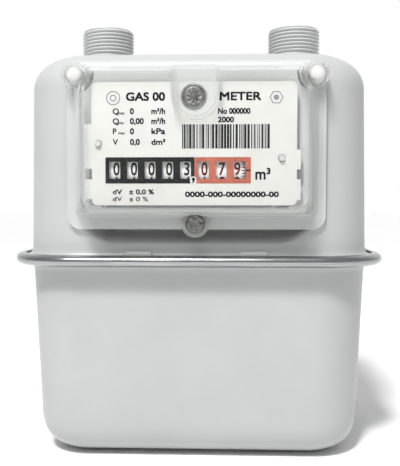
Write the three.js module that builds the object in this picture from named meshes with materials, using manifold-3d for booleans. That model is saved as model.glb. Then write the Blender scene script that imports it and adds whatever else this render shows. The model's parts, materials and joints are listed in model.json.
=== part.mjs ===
// A domestic diaphragm gas meter with a cyclic volume of 1.2 litres, in millimetres.
// +Z is up, the front with the index faces -Y, and the origin is the middle of the flat base.
// Two drawn steel shells are clamped by a rolled band. The shells hold a two-chamber diaphragm unit,
// whose crank drives an eight-drum counter behind a clear cover through a worm, a shaft and gears.
import * as THREE from "three";
import { mergeVertices } from "three/addons/utils/BufferGeometryUtils.js";
import Module from "manifold-3d";

const wasm = await Module();
wasm.setup();

// ---------- Driving dimensions ----------
const GAP = 0.3; // between faces that touch on the real object
const SKIN = 0.5; // how far a cutting body runs past the face that it opens

const BODY_HALF_W = 89.2;
const BODY_HALF_D = 69.2;
const BODY_CORNER_R = 28;
const CASE_WALL = 1;
const FLANGE_GROW = 7.3;
const FLANGE_THICK = 1.1;
const SEAM_Z = 104; // middle of the gasket
const SEAM_HALF = 0.7; // from the middle of the gasket to each flange
const CASE_DRAFT = 1.2; // how far each wall of the upper case draws in up to its shoulder
const CASE_TOP_Z = 212.2;

const UNION_X = 55; // half of the 110 mm between the pipe axes
const THREAD_R = 15; // M30 x 2
const THREAD_ROOT_R = 13.8;
const THREAD_PITCH = 2;
const THREAD_TURNS = 7;
const THREAD_START_Z = 219.4;
const UNION_NECK_R = 14.2;
const UNION_BORE_R = 11;
const UNION_TOP_Z = 234.4;

const RECESS_PANEL_Y = -54.5; // the pressed seat of the index
const DRUM_AXIS_Y = -71.8;
const DRUM_AXIS_Z = 148.8;
const DRUM_COUNT = 8;
const DRUM_PITCH = 8.5;
const FIRST_DRUM_X = -38.3;
const DRUM_R = 11;
const DRUM_HALF_W = 2.9;
const DRUM_AXLE_R = 1.5;
const DRUM_TEETH = 20;
const PINION_TEETH = 8;
const COUNTER_MODULE = 0.893;
const PINION_DISTANCE = (COUNTER_MODULE * (DRUM_TEETH + PINION_TEETH)) / 2;
const PINION_AXLE_R = 1;

const PLATE_BACK_Y = -83.4;
const PLATE_THICK = 1.3;
const COVER_BASE_Y = -69.5;
const COVER_FRONT_Y = -93;
const COVER_WALL = 1.7;
const EAR_X = 59.3;
const EAR_Z = 195.8;
const TOP_SEAL = [-0.3, 183.7];
const BOTTOM_SEAL = [0, 122.7];

const CRANK_X = 0;
const CRANK_Y = -8;
const WORM_R = 5;
const WORM_MODULE = 0.8;
const WHEEL_TEETH = 20;
const WHEEL_R = (WORM_MODULE * WHEEL_TEETH) / 2;
const DRIVE_X = CRANK_X + WORM_R + WHEEL_R;
const CHANGE_MODULE = 0.73;
const CHANGE_GEAR_TEETH = 36;
const CHANGE_PINION_TEETH = 15;
const CHANGE_DISTANCE = (CHANGE_MODULE * (CHANGE_GEAR_TEETH + CHANGE_PINION_TEETH)) / 2;
const IDLER_X = 31.2;
const DRIVE_Z = DRUM_AXIS_Z + Math.sqrt(CHANGE_DISTANCE ** 2 - (IDLER_X - DRIVE_X) ** 2);
const BEVEL_TEETH = 12;
const BEVEL_R = 4.9;

const CHAMBER_Z = 78; // height of the diaphragm centres
const CHAMBER_R = 50;
const BODY_FACE_X = 37.6;
const MEMBRANE_X = 38.3;
const PLATE_R = 36;
const FLAG_X = 22;
const FLAG_Y = 44;
const SHORT_ARM = [4.9, -25.1]; // from the right flag rod to the pin of its link
const CRANK_PIN = [0, 0]; // place of the crank pin when at rest
const CRANK_DISC_Z = 163.3;
const VALVE_X = 26;
const VALVE_Y = -30;
const VALVE_PLATE_TOP_Z = 140;

// ---------- Materials ----------
function finish(color, roughness, metalness = 0, opacity = 1) {
  return new THREE.MeshStandardMaterial({ color, roughness, metalness, opacity, transparent: opacity < 1 });
}
const paint = finish(0xdadbdb, 0.35);
const bandSteel = finish(0xc9cbcc, 0.22, 1);
const rubber = finish(0x1d1d1e, 0.8);
const clearPlastic = finish(0xe9eeee, 0.1, 0, 0.3);
const greyPlastic = finish(0xc2c3c1, 0.6);
const whitePlastic = finish(0xf0efe9, 0.5);
const drumPlastic = finish(0xe6e6e2, 0.5);
const steel = finish(0xa9abad, 0.35, 1);
const brass = finish(0xb8964a, 0.35, 1);
const lead = finish(0x84837e, 0.6, 1);
const unitPlastic = finish(0x6f7478, 0.6);
const membraneCloth = finish(0x3c3b37, 0.85);
const zincPlate = finish(0xb4b6b8, 0.45, 1);

// ---------- Solids ----------
// A closed three.js geometry as a manifold-3d solid whose faces point outwards.
function solid(geometry) {
  const bare = new THREE.BufferGeometry().setAttribute("position", geometry.getAttribute("position"));
  if (geometry.index) bare.setIndex(geometry.index);
  const merged = mergeVertices(bare, 1e-4);
  const corners = [];
  for (let i = 0; i < merged.index.count; i += 3) {
    const [a, b, c] = [0, 1, 2].map((k) => merged.index.getX(i + k));
    if (a !== b && b !== c && a !== c) corners.push(a, b, c);
  }
  const vertProperties = merged.attributes.position.array;
  const build = (list) =>
    new wasm.Manifold(new wasm.Mesh({ numProp: 3, vertProperties, triVerts: new Uint32Array(list) }));
  const made = build(corners);
  return made.volume() < 0 ? build(corners.reverse()) : made;
}

function geometryOf(made) {
  const mesh = made.getMesh();
  const flat = new THREE.BufferGeometry();
  const places = new Float32Array(mesh.numVert * 3);
  for (let i = 0; i < mesh.numVert; i++) {
    places.set(mesh.vertProperties.subarray(i * mesh.numProp, i * mesh.numProp + 3), i * 3);
  }
  flat.setAttribute("position", new THREE.BufferAttribute(places, 3));
  flat.setIndex(new THREE.BufferAttribute(mesh.triVerts, 1));
  flat.computeVertexNormals();
  return flat;
}

const join = (first, ...rest) => rest.reduce((a, b) => a.add(b), first);
const cut = (first, ...rest) => rest.reduce((a, b) => a.subtract(b), first);

// ---------- Outlines ----------
function roundedRect(cx, cy, halfW, halfH, r, steps = 4) {
  const points = [];
  const corners = [[1, 1], [-1, 1], [-1, -1], [1, -1]];
  corners.forEach(([sx, sy], quarter) => {
    for (let i = 0; i <= steps; i++) {
      const a = ((quarter + i / steps) * Math.PI) / 2;
      const x = cx + sx * (halfW - r) + r * Math.cos(a);
      const y = cy + sy * (halfH - r) + r * Math.sin(a);
      points.push(new THREE.Vector2(x, y));
    }
  });
  return points;
}

function circle(cx, cy, r, steps = 16) {
  return Array.from({ length: steps }, (_, i) => {
    const a = (i / steps) * 2 * Math.PI;
    return new THREE.Vector2(cx + r * Math.cos(a), cy + r * Math.sin(a));
  });
}

// Pointed teeth with wide gaps, so that they run free; a tooth points along the first axis.
function gearOutline(teeth, module, turn = 0) {
  const step = (2 * Math.PI) / teeth;
  const tip = module * (teeth / 2 + 1);
  const root = module * (teeth / 2 - 1.25);
  const corners = [[root, -0.25], [tip, 0], [root, 0.25]];
  const points = [];
  for (let i = 0; i < teeth; i++) {
    for (const [r, share] of corners) {
      const a = turn + (i + share) * step;
      points.push(new THREE.Vector2(r * Math.cos(a), r * Math.sin(a)));
    }
  }
  return points;
}

// ---------- Solids from outlines ----------
// Joins outlines of the same number of points at different levels, with flat ends.
function loft(outlines, place) {
  const rings = outlines.map(({ points, level }) => points.map((p) => place(p.x, p.y, level)));
  const n = rings[0].length;
  const corners = [];
  for (let k = 0; k + 1 < rings.length; k++) {
    for (let i = 0; i < n; i++) {
      const [a, b] = [k * n + i, k * n + ((i + 1) % n)];
      corners.push(a, b, b + n, a, b + n, a + n);
    }
  }
  const last = (rings.length - 1) * n;
  for (const [a, b, c] of THREE.ShapeUtils.triangulateShape(outlines[0].points, [])) corners.push(c, b, a);
  for (const [a, b, c] of THREE.ShapeUtils.triangulateShape(outlines.at(-1).points, [])) {
    corners.push(last + a, last + b, last + c);
  }
  const geometry = new THREE.BufferGeometry().setFromPoints(rings.flat());
  return solid(geometry.setIndex(corners));
}
const ontoXY = (u, v, level) => new THREE.Vector3(u, v, level);
const ontoXZ = (u, v, level) => new THREE.Vector3(u, level, v);
const ontoYZ = (u, v, level) => new THREE.Vector3(level, u, v);

function prism(points, from, to, place = ontoXY) {
  return loft([{ points, level: from }, { points, level: to }], place);
}
const rodZ = (x, y, r, from, to, steps) => prism(circle(x, y, r, steps), from, to);
const rodY = (x, z, r, from, to, steps) => prism(circle(x, z, r, steps), from, to, ontoXZ);
const rodX = (y, z, r, from, to, steps) => prism(circle(y, z, r, steps), from, to, ontoYZ);
const box = (x0, x1, y0, y1, z0, z1) =>
  solid(new THREE.BoxGeometry(x1 - x0, y1 - y0, z1 - z0)).translate(
    (x0 + x1) / 2,
    (y0 + y1) / 2,
    (z0 + z1) / 2,
  );

// Turns a closed profile of [radius, height] pairs about the Z axis.
function turned(profile, steps = 20) {
  const points = [...profile, profile[0]].map(([r, z]) => new THREE.Vector2(r, z));
  return solid(new THREE.LatheGeometry(points, steps).rotateX(Math.PI / 2));
}

// Carries a closed profile of [grow, z] pairs round the outline of the case.
function aroundCase(profile) {
  const rings = [...profile, profile[0]].map(([grow, z]) => caseRing(grow).map((p) => ontoXY(p.x, p.y, z)));
  const n = rings[0].length;
  const corners = [];
  for (let k = 0; k + 1 < rings.length; k++) {
    for (let i = 0; i < n; i++) {
      const [a, b] = [k * n + i, k * n + ((i + 1) % n)];
      corners.push(a, b, b + n, a, b + n, a + n);
    }
  }
  return solid(new THREE.BufferGeometry().setFromPoints(rings.flat()).setIndex(corners));
}

// A single-start screw surface about Z, with its middle at z = 0.
function worm(pitchR, module, length, coreR) {
  const [around, perPitch] = [12, 6];
  const pitch = Math.PI * module;
  const levels = Math.ceil((length / pitch) * perPitch);
  const outlines = [];
  for (let k = 0; k <= levels; k++) {
    const z = -length / 2 + (k / levels) * length;
    const points = Array.from({ length: around }, (_, i) => {
      const a = (i / around) * 2 * Math.PI;
      const phase = Math.abs((((z / pitch - i / around) % 1) + 1.5) % 1 - 0.5) * 2;
      const rise = THREE.MathUtils.clamp((0.62 - phase) / 0.34, 0, 1);
      const r = THREE.MathUtils.lerp(coreR, pitchR + module, rise);
      return new THREE.Vector2(r * Math.cos(a), r * Math.sin(a));
    });
    outlines.push({ points, level: z });
  }
  return loft(outlines, ontoXY);
}

// ---------- Case ----------
// The outline of the case, grown outwards, or drawn in where the shell rounds over.
function caseRing(grow) {
  const r = grow > 0 ? BODY_CORNER_R + grow : BODY_CORNER_R + 0.75 * grow;
  return roundedRect(0, 0, BODY_HALF_W + grow, BODY_HALF_D + grow, r);
}
const caseLoft = (stations) => {
  const rings = stations.map(([grow, level]) => ({ points: caseRing(grow), level }));
  return loft(rings, ontoXY);
};

// The pressed seat of the index, as the space that it takes out of the front; grow adds the wall.
function indexSeat(grow) {
  const stations = [
    { y: -BODY_HALF_D - 4, halfW: 64.5, low: 106.5, high: 204.5, r: 23 },
    { y: -BODY_HALF_D, halfW: 63, low: 108.4, high: 203, r: 22 },
    { y: -64.5, halfW: 61.6, low: 111.2, high: 201.6, r: 21 },
    { y: RECESS_PANEL_Y, halfW: 60, low: 114.5, high: 200.2, r: 20 },
  ];
  const outlines = stations.map(({ y, halfW, low, high, r }) => ({
    points: roundedRect(0, (low + high) / 2, halfW + grow, (high - low) / 2 + grow, r + grow),
    level: y,
  }));
  outlines.at(-1).level += grow;
  return loft(outlines, ontoXZ);
}

function upperCase() {
  const foot = SEAM_Z + SEAM_HALF;
  const outer = caseLoft([
    [FLANGE_GROW, foot], [FLANGE_GROW, foot + FLANGE_THICK], [3.2, foot + FLANGE_THICK], [0.9, 107.4],
    [0, 111], [-CASE_DRAFT, 193], [-2.8, 199.3], [-6, 204.6], [-11, 208.2], [-18.7, 211],
    [-31, CASE_TOP_Z],
  ]);
  const inner = caseLoft([
    [2, foot - SKIN], [2, foot + 0.1], [-0.2, 107.2], [-CASE_WALL, 111],
    [-CASE_WALL - CASE_DRAFT, 193], [-3.7, 198.8], [-6.9, 203.7], [-11.6, 207.2], [-18.9, 210],
    [-31, CASE_TOP_Z - CASE_WALL],
  ]);
  const lug = (x) => box(x - 7.5, x + 7.5, -72.7, -68.2, 105.4, 109.2);
  const shell = cut(join(cut(outer, indexSeat(0)), lug(-29), lug(29)), cut(inner, indexSeat(CASE_WALL)));
  const pipeHole = (x) => rodZ(x, 0, UNION_NECK_R + GAP + 0.2, 200, 220, 20);
  const glandHole = rodY(DRIVE_X, DRIVE_Z, 4 + GAP, RECESS_PANEL_Y - 3, RECESS_PANEL_Y + 4);
  return cut(shell, pipeHole(-UNION_X), pipeHole(UNION_X), glandHole);
}

function lowerCase() {
  const rim = SEAM_Z - SEAM_HALF;
  const outer = caseLoft([
    [-30, 0], [-18, 1.2], [-10.5, 4.6], [-6, 10.5], [-3.8, 20], [-0.6, 97], [0.6, 100.6],
    [3.2, rim - FLANGE_THICK], [FLANGE_GROW, rim - FLANGE_THICK], [FLANGE_GROW, rim],
  ]);
  const inner = caseLoft([
    [-30, CASE_WALL], [-18.3, 2.1], [-11.2, 5.4], [-6.9, 11], [-4.8, 20.4], [-1.6, 97],
    [-0.5, 100.9], [2, rim - 0.1], [2, rim + SKIN],
  ]);
  return cut(outer, inner);
}

// The rolled strip that holds the two flanges, with its ends meeting at the middle of the back.
function clampBand() {
  const mid = SEAM_Z;
  const lip = FLANGE_THICK + SEAM_HALF + GAP; // inside of the strip above the middle
  const rim = FLANGE_GROW + GAP;
  const inside = [[3.9, mid + lip], [rim, mid + lip], [rim, mid - lip], [3.9, mid - lip]];
  const outside = [
    [3.9, mid - lip - 0.7], [6.4, mid - lip - 0.9], [8.3, mid - 1.7], [8.8, mid],
    [8.3, mid + 1.7], [6.4, mid + lip + 0.9], [3.9, mid + lip + 0.7],
  ];
  const seamGap = box(-0.6, 0.6, 60, 90, 90, 120);
  return cut(aroundCase([...inside, ...outside]), seamGap);
}

function caseGasket() {
  const half = SEAM_HALF - GAP;
  return aroundCase([[2.8, SEAM_Z - half], [7, SEAM_Z - half], [7, SEAM_Z + half], [2.8, SEAM_Z + half]]);
}

// A threaded pipe union, seated in the top of the case by its inner collar.
function pipeUnion() {
  const ridges = [];
  for (let i = 0; i < THREAD_TURNS; i++) {
    const z = THREAD_START_Z + i * THREAD_PITCH;
    ridges.push([THREAD_ROOT_R, z], [THREAD_R, z + THREAD_PITCH / 2]);
  }
  return turned([
    [UNION_BORE_R, 208.6], [16.2, 208.6], [16.2, 209.4], [UNION_NECK_R, 209.4], [UNION_NECK_R, 219],
    ...ridges, [13.5, UNION_TOP_Z], [UNION_BORE_R, UNION_TOP_Z],
  ], 18);
}

// ---------- Index ----------
const atEars = (r, from, to) => [-EAR_X, EAR_X].map((x) => rodY(x, EAR_Z, r, from, to, 20));

// The wall and ledge of the index base that show round the edges of the dial plate.
function indexSurround() {
  const skin = (inset, backY, frontY) => {
    const stations = [
      { y: backY, halfW: 58.4, low: 127.2, high: 198.9, r: 9 },
      { y: frontY, halfW: 55.2, low: 129.6, high: 197.8, r: 7 },
    ];
    const outlines = stations.map(({ y, halfW, low, high, r }) => ({
      points: roundedRect(0, (low + high) / 2, halfW - inset, (high - low) / 2 - inset, r - inset),
      level: y,
    }));
    return loft(outlines, ontoXZ);
  };
  const window = prism(roundedRect(0, 160.5, 46.2, 29.8, 2), -82, -77, ontoXZ);
  const earRoom = [...atEars(6.8, -82, -66), ...atEars(10.1, -82, -77)];
  return cut(skin(0, -67.5, -79.5), skin(1.2, -67, -78.3), window, ...earRoom);
}

function indexBase() {
  const [footZ, topZ] = [120.6, 199];
  const middle = (footZ + topZ) / 2;
  const halfH = (topZ - footZ) / 2;
  const back = RECESS_PANEL_Y - GAP;
  const floorY = back - 1.5;
  const rimY = -68.7;
  const outline = (inset) => roundedRect(0, middle, 58.6 - inset, halfH - inset, 18.6 - inset);
  const tray = cut(prism(outline(0), rimY, back, ontoXZ), prism(outline(1.5), rimY - SKIN, floorY, ontoXZ));
  const post = (x, z, r, frontY) => rodY(x, z, r, frontY, floorY + SKIN, 12);
  const stake = (x, z) => {
    const shoulder = post(x, z, 2.2, PLATE_BACK_Y + GAP);
    const tip = post(x, z, 1.5, PLATE_BACK_Y - PLATE_THICK - 1.2);
    return join(shoulder, tip);
  };
  const whole = join(
    tray,
    indexSurround(),
    stake(-46.3, 161.6),
    stake(41.6, 154.5),
    post(...TOP_SEAL, 3.6, -76.7),
    post(...BOTTOM_SEAL, 3.6, -68.7),
    rodY(IDLER_X, DRUM_AXIS_Z, 3, floorY - 1.2, floorY + SKIN, 12),
  );
  return cut(
    whole,
    rodY(...TOP_SEAL, 1.6, -80, floorY + 0.2, 10),
    rodY(...BOTTOM_SEAL, 1.6, -80, floorY + 0.2, 10),
    rodY(IDLER_X, DRUM_AXIS_Z, 1.3, -60, floorY + 0.6, 10),
    rodY(DRIVE_X, DRIVE_Z, 6.6, -60, back + SKIN),
  );
}

// Two side plates and a bar that carry both axles of the counter.
function counterFrame() {
  const side = (x) => {
    const plate = box(x - 0.5, x + 0.5, -83, -62, 131, 170);
    const foot = (z) => box(x - 0.5, x + 0.5, -63, -56.7, z, z + 6);
    return join(plate, foot(131), foot(164));
  };
  const bar = box(-43.7, 38.2, -82, -66, 167.6, 169);
  const axleHole = (z, r) => rodX(DRUM_AXIS_Y, z, r + GAP, -50, 50, 12);
  return cut(
    join(side(-43.2), side(37.7), bar),
    axleHole(DRUM_AXIS_Z, DRUM_AXLE_R),
    axleHole(DRUM_AXIS_Z + PINION_DISTANCE, PINION_AXLE_R),
  );
}

// A number drum about the X axis: numeral ring, driven gear on the right, driving cam on the left.
function numberDrum() {
  const numeralRing = rodX(0, 0, DRUM_R, -DRUM_HALF_W, DRUM_HALF_W, 28);
  const teeth = gearOutline(DRUM_TEETH, COUNTER_MODULE);
  const driven = prism(teeth, DRUM_HALF_W - 0.1, DRUM_HALF_W + 1.1, ontoYZ);
  const cam = rodX(0, 0, 7, -DRUM_HALF_W - 1.1, -DRUM_HALF_W + 0.1, 12);
  const bore = rodX(0, 0, DRUM_AXLE_R + 0.4, -9, 9, 10);
  return cut(join(numeralRing, driven, cam), bore);
}

function transferPinion() {
  const outline = gearOutline(PINION_TEETH, COUNTER_MODULE, Math.PI / PINION_TEETH);
  const teeth = prism(outline, -1.15, 1.15, ontoYZ);
  return cut(teeth, rodX(0, 0, PINION_AXLE_R + 0.35, -5, 5, 10));
}

function axleRod(r, from, to) {
  return rodX(0, 0, r, from, to, 12);
}

// The printed plate with its eight windows.
function dialPlate() {
  const front = PLATE_BACK_Y - PLATE_THICK;
  const plate = prism(roundedRect(-0.3, 161.4, 49.1, 29.4, 2.5, 3), front, PLATE_BACK_Y, ontoXZ);
  const tab = (x0, x1, z0, z1) => box(x0, x1, front, PLATE_BACK_Y, z0, z1);
  const windows = Array.from({ length: DRUM_COUNT }, (_, i) => {
    const last = i === DRUM_COUNT - 1;
    const x = FIRST_DRUM_X + i * DRUM_PITCH + (last ? 0.3 : 0);
    const half = last ? 2.95 : 2.57;
    return box(x - half, x + half, front - 1, PLATE_BACK_Y + 1, 144.6, 153);
  });
  return cut(
    join(
      plate,
      tab(-53, -49, 149.6, 171),
      tab(-53, -49, 135, 144.5),
      tab(48, 50.6, 149.2, 158.5),
      tab(48, 50.6, 134.6, 144.4),
    ),
    ...windows,
    rodY(...TOP_SEAL, 6.4, -90, -80),
    rodY(-46.3, 161.6, 1.8, -90, -80, 10),
    rodY(41.6, 154.5, 1.8, -90, -80, 10),
  );
}

// The outline of the sealing pocket in the top of the cover: a U, open upwards.
function pocketOutline(grow) {
  const points = [];
  const r = 10 + grow;
  for (let i = 0; i <= 10; i++) {
    const a = Math.PI + (i / 10) * Math.PI;
    points.push(new THREE.Vector2(0.6 + r * Math.cos(a), 184 + r * Math.sin(a)));
  }
  points.push(new THREE.Vector2(0.6 + r, 210), new THREE.Vector2(0.6 - r, 210));
  return points;
}

function coverBlock(inset, backY) {
  const stations = [
    { y: backY, halfW: 61.4, low: 124.7, high: 203, r: 5 },
    { y: COVER_FRONT_Y + 1.5, halfW: 53.6, low: 130, high: 197.2, r: 5 },
    { y: COVER_FRONT_Y, halfW: 52, low: 131.6, high: 195.6, r: 4.4 },
  ];
  const outlines = stations.map(({ y, halfW, low, high, r }) => {
    const [middle, halfH] = [(low + high) / 2, (high - low) / 2];
    const corner = Math.max(r - inset, 2);
    return { points: roundedRect(0, middle, halfW - inset, halfH - inset, corner, 3), level: y };
  });
  outlines[1].level += inset;
  outlines[2].level += inset;
  return loft(outlines, ontoXZ);
}

function indexCover() {
  const flange = prism(roundedRect(0, 161.9, 64.5, 42, 7), COVER_BASE_Y - 2, COVER_BASE_Y, ontoXZ);
  const block = cut(join(coverBlock(0, COVER_BASE_Y), flange), ...atEars(8.2, -95, -79));
  const cup = rodY(...BOTTOM_SEAL, 6.7, -77.5, COVER_BASE_Y);
  const outside = join(block, ...atEars(6.3, -79, COVER_BASE_Y), cup);
  const pocketWall = prism(pocketOutline(1.5), -96, -85.8, ontoXZ);
  const cupWall = rodY(...TOP_SEAL, 6, -90, -77);
  const hollow = cut(
    coverBlock(COVER_WALL, COVER_BASE_Y + SKIN),
    ...atEars(9.7, -95, -77.4),
    ...atEars(6.3, -79, COVER_BASE_Y + SKIN),
    pocketWall,
    cupWall,
  );
  return cut(
    outside,
    hollow,
    ...atEars(4.6, -95, -60),
    prism(pocketOutline(0), -96, -87.4, ontoXZ),
    rodY(...TOP_SEAL, 5, -90, -78.2),
    rodY(...TOP_SEAL, 1.7, -90, -70, 10),
    rodY(...BOTTOM_SEAL, 5.1, -80, -71),
    rodY(...BOTTOM_SEAL, 1.7, -80, -60, 10),
  );
}

// A pan-head screw along Y with the underside of its head at y = 0 and its shank running back.
function panScrew(headR, headH, shankLength) {
  const head = turned([[0, 0], [headR, 0], [headR, headH * 0.5], [headR * 0.7, headH], [0, headH]], 16);
  const shank = rodZ(0, 0, 1.3, -shankLength, 0.2, 8);
  const slot = box(-headR, headR, -0.4, 0.4, headH - 0.7, headH + 1);
  return cut(join(head, shank), slot).rotate([90, 0, 0]);
}

function sealPlug(r, thick) {
  return turned([[0, 0], [r, 0], [r, thick - 0.5], [r - 0.6, thick], [0, thick]], 20).rotate([90, 0, 0]);
}

function coverStud() {
  return turned([[0, 0], [3, 0], [3, 0.8], [2, 0.8], [2, 5], [0, 5]], 12).rotate([90, 0, 0]);
}

function studCap() {
  return turned([
    [2.3, 0], [4.3, 0], [4.3, 5.4], [3.4, 6.8], [0, 7.6], [0, 5.3], [2.3, 5.3],
  ], 20).rotate([90, 0, 0]);
}

// ---------- Drive from the crank to the counter ----------
// A bevel gear about Z whose cone points to the origin; its back is at z = BEVEL_R + 0.6.
function bevel(boreR, turn) {
  const outline = gearOutline(BEVEL_TEETH, (2 * BEVEL_R) / BEVEL_TEETH, turn);
  const scaled = (k) => outline.map((p) => p.clone().multiplyScalar(k));
  const ends = [{ points: scaled(0.55), level: 0.55 * BEVEL_R }, { points: scaled(1), level: BEVEL_R }];
  const cone = loft(ends, ontoXY);
  const back = rodZ(0, 0, 3.6, BEVEL_R - 0.1, BEVEL_R + 0.6, 12);
  return cut(join(cone, back), rodZ(0, 0, boreR, -1, 9, 12));
}

function inputBevel() {
  const gear = bevel(DRUM_AXLE_R + 0.35, 0).rotate([0, -90, 0]);
  return gear.translate(IDLER_X, DRUM_AXIS_Y, DRUM_AXIS_Z);
}

function idlerShaft() {
  const gear = join(bevel(0.9, Math.PI / BEVEL_TEETH), rodZ(0, 0, 1, 2.8, 15.6, 12));
  return gear.rotate([-90, 0, 0]).translate(IDLER_X, DRUM_AXIS_Y, DRUM_AXIS_Z);
}

// A spur gear about Y in the plane of the change gears.
function changeGear(teeth, boreR, hubR, turn) {
  const wheel = prism(gearOutline(teeth, CHANGE_MODULE, turn), -60.2, -58.6, ontoXZ);
  return cut(join(wheel, rodY(0, 0, hubR, -58.7, -57.9)), rodY(0, 0, boreR, -70, -50, 12));
}

function driveShaft() {
  const journal = rodY(0, 0, 1.5, -60.4, -2, 12);
  const collar = rodY(0, 0, 2.4, -51.2, -49.8, 12);
  return join(journal, collar);
}

function glandBush() {
  return turned([
    [1.8, 0], [6, 0], [6, 1.6], [3.9, 1.6], [3.9, 5.4], [1.8, 5.4],
  ], 16).rotate([90, 0, 0]);
}

function wormWheel() {
  const teeth = prism(gearOutline(WHEEL_TEETH, WORM_MODULE, Math.PI / WHEEL_TEETH), -2, 2, ontoXZ);
  return cut(join(teeth, rodY(0, 0, 3.6, -5, 2, 16)), rodY(0, 0, 1.8, -10, 10, 12));
}

// Crank about Z, seen at its place: foot bearing, worm, disc and pin.
function crank() {
  const thread = worm(WORM_R, WORM_MODULE, 8, WORM_R - 1.1).translate(0, 0, DRIVE_Z);
  const stem = rodZ(0, 0, 2, VALVE_PLATE_TOP_Z + GAP, CRANK_DISC_Z + 0.2, 12);
  const disc = rodZ(0, 0, 11, CRANK_DISC_Z, CRANK_DISC_Z + 2.2, 24);
  const [pinX, pinY] = [CRANK_PIN[0] - CRANK_X, CRANK_PIN[1] - CRANK_Y];
  const pin = rodZ(pinX, pinY, 1.6, CRANK_DISC_Z + 2, CRANK_DISC_Z + 4.4, 12);
  return join(thread, stem, disc, pin).translate(CRANK_X, CRANK_Y, 0);
}

// ---------- Measuring unit ----------
const LINK_LEVELS = { left: 172.2, right: 169.6 };

function measuringBody() {
  const drum = rodX(0, CHAMBER_Z, 55.5, -BODY_FACE_X, BODY_FACE_X, 28);
  const top = box(-BODY_FACE_X, BODY_FACE_X, -48, 52, 100, 134);
  const chamber = (from, to) => rodX(0, CHAMBER_Z, CHAMBER_R, from, to, 28);
  const rodWay = (x) => rodZ(x, FLAG_Y, 3, CHAMBER_Z, 150, 12);
  return cut(
    join(drum, top),
    chamber(3, BODY_FACE_X + 1),
    chamber(-BODY_FACE_X - 1, -3),
    rodWay(-FLAG_X),
    rodWay(FLAG_X),
    box(-VALVE_X - 3, -VALVE_X + 3, VALVE_Y - 6, VALVE_Y + 6, 115, 150),
    box(VALVE_X - 3, VALVE_X + 3, VALVE_Y - 6, VALVE_Y + 6, 115, 150),
  );
}

// A dished cover for one chamber, turned about X; side is 1 for right and -1 for left.
function chamberCover(side) {
  const rim = MEMBRANE_X + 0.5 + GAP;
  const cover = turned([
    [54.5, rim], [54.5, rim + 3.4], [50.5, 61], [43, 70], [0, 73],
    [0, 71.4], [42, 68.6], [48.9, 60.4], [CHAMBER_R, rim],
  ], 24);
  return cover.rotate([0, 90 * side, 0]).translate(0, 0, CHAMBER_Z);
}

// The rolling ring of the diaphragm between the clamped rim and the moving plate.
function membrane(side) {
  const [x, half] = [MEMBRANE_X, 0.35];
  const ring = turned([
    [54, x - half], [54, x + half], [48.5, x + half], [46, x + 3.6], [40, x + 3.6],
    [PLATE_R + 0.8, x + half], [PLATE_R + 0.8, x - half], [40.4, x + 2.6], [45.6, x + 2.6], [48, x - half],
  ], 24);
  return ring.rotate([0, 90 * side, 0]).translate(0, 0, CHAMBER_Z);
}

// The stiff disc of the diaphragm with the slotted bracket that its flag moves in.
function diaphragmPlate(side) {
  const span = (a, b) => (side > 0 ? [a, b] : [-b, -a]);
  const disc = rodX(0, CHAMBER_Z, PLATE_R, ...span(37.8, 38.8), 28);
  const arm = box(...span(FLAG_X - 3.6, 38), -6, 6, CHAMBER_Z - 7.4, CHAMBER_Z - 5.4);
  const slot = box(...span(FLAG_X - 1.9, FLAG_X + 1.9), -3, 4.6, CHAMBER_Z - 9, CHAMBER_Z - 4);
  const rib = box(...span(30, 38), -1, 1, CHAMBER_Z - 14, CHAMBER_Z - 5.6);
  return cut(join(disc, arm, rib), slot);
}

// Flag, vertical rod and short arm, which turn together about the rod.
function flagRod(side) {
  const x = side * FLAG_X;
  const level = side > 0 ? LINK_LEVELS.right : LINK_LEVELS.left;
  const rod = rodZ(x, FLAG_Y, 2, CHAMBER_Z - 12, CRANK_DISC_Z + 2.5, 12);
  const flag = box(x - 1, x + 1, -1.2, FLAG_Y, CHAMBER_Z - 4.6, CHAMBER_Z + 4);
  const pin = rodZ(x, 0, 1.2, CHAMBER_Z - 8.4, CHAMBER_Z - 4.4, 12);
  const [dx, dy] = [side * SHORT_ARM[0], SHORT_ARM[1]];
  const ends = [[x, FLAG_Y, 4], [x + dx, FLAG_Y + dy, 3]];
  const eyes = ends.map(([ex, ey, r]) => rodZ(ex, ey, r, CRANK_DISC_Z, CRANK_DISC_Z + 2.5, 12));
  const arm = wasm.Manifold.hull(eyes);
  const linkPin = rodZ(x + dx, FLAG_Y + dy, 1.4, CRANK_DISC_Z + 2.3, level + 3, 12);
  return join(rod, flag, pin, arm, linkPin);
}

// The link from the short arm to the crank pin; it ends just above the pin.
function linkArm(side) {
  const level = side > 0 ? LINK_LEVELS.right : LINK_LEVELS.left;
  const from = [side * (FLAG_X + SHORT_ARM[0]), FLAG_Y + SHORT_ARM[1]];
  const eyes = [from, CRANK_PIN].map(([x, y]) => rodZ(x, y, 3.4, level, level + 1.8, 12));
  const bar = wasm.Manifold.hull(eyes);
  return cut(bar, rodZ(...from, 1.7, 160, 190, 12), rodZ(...CRANK_PIN, 1.9, 160, 190, 12));
}

// The grid that the valves slide on, with three ports under each valve.
function valvePlate() {
  const plate = prism(roundedRect(0, 2, 70, 51, 8), 134.3, VALVE_PLATE_TOP_Z);
  const ports = [];
  for (const x of [-VALVE_X, VALVE_X]) {
    for (const row of [-1, 0, 1]) {
      ports.push(box(x - 9, x + 9, VALVE_Y - 2 + row * 8, VALVE_Y + 2 + row * 8, 130, 145));
    }
  }
  const rodWays = [-FLAG_X, FLAG_X].map((x) => rodZ(x, FLAG_Y, 2.6, 130, 145, 12));
  const outlet = rodZ(UNION_X, 0, 9.6, 136.5, 145, 20);
  return cut(plate, ...ports, ...rodWays, outlet);
}

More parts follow.
